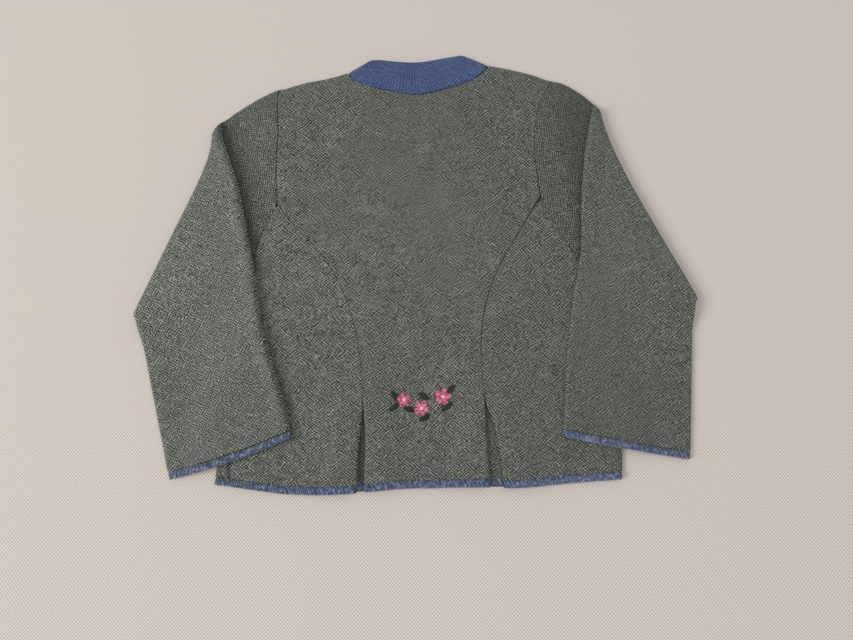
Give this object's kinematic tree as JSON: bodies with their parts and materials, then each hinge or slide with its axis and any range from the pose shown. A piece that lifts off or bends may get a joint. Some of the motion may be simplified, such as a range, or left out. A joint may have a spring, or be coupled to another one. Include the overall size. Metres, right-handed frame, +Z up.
{
  "type": "knit cardigan",
  "caption": "Child's boiled-wool cardigan laid face down: shaped back with two pleats, ribbed stand collar, yarn-edged hem and cuffs, sleeves folded over the back",
  "frame": {"origin": "middle of the underside of the laid garment, on the table", "axes": "+X to the right of someone looking down at the back, +Y from the hem to the neck, +Z up from the table"},
  "size_m": [0.5392, 0.4474, 0.0102],
  "materials": {
    "wool": "matte, felted grey-green melange knit",
    "rib": "matte blue rib knit",
    "edging": "matte blue yarn stitches"
  },
  "bodies": {
    "root": {"back_centre": "wool", "back_side_left": "wool", "back_side_right": "wool", "pleat_inset_left": "wool", "pleat_inset_right": "wool", "front_left": "wool", "front_right": "wool", "sleeve_left": "wool", "sleeve_right": "wool", "collar": "rib", "hem_edging_back_centre": "edging", "hem_edging_back_left": "edging", "hem_edging_back_right": "edging", "hem_edging_front_left": "edging", "hem_edging_front_right": "edging", "cuff_edging_left": "edging", "cuff_edging_right": "edging"}
  },
  "joints": []
}
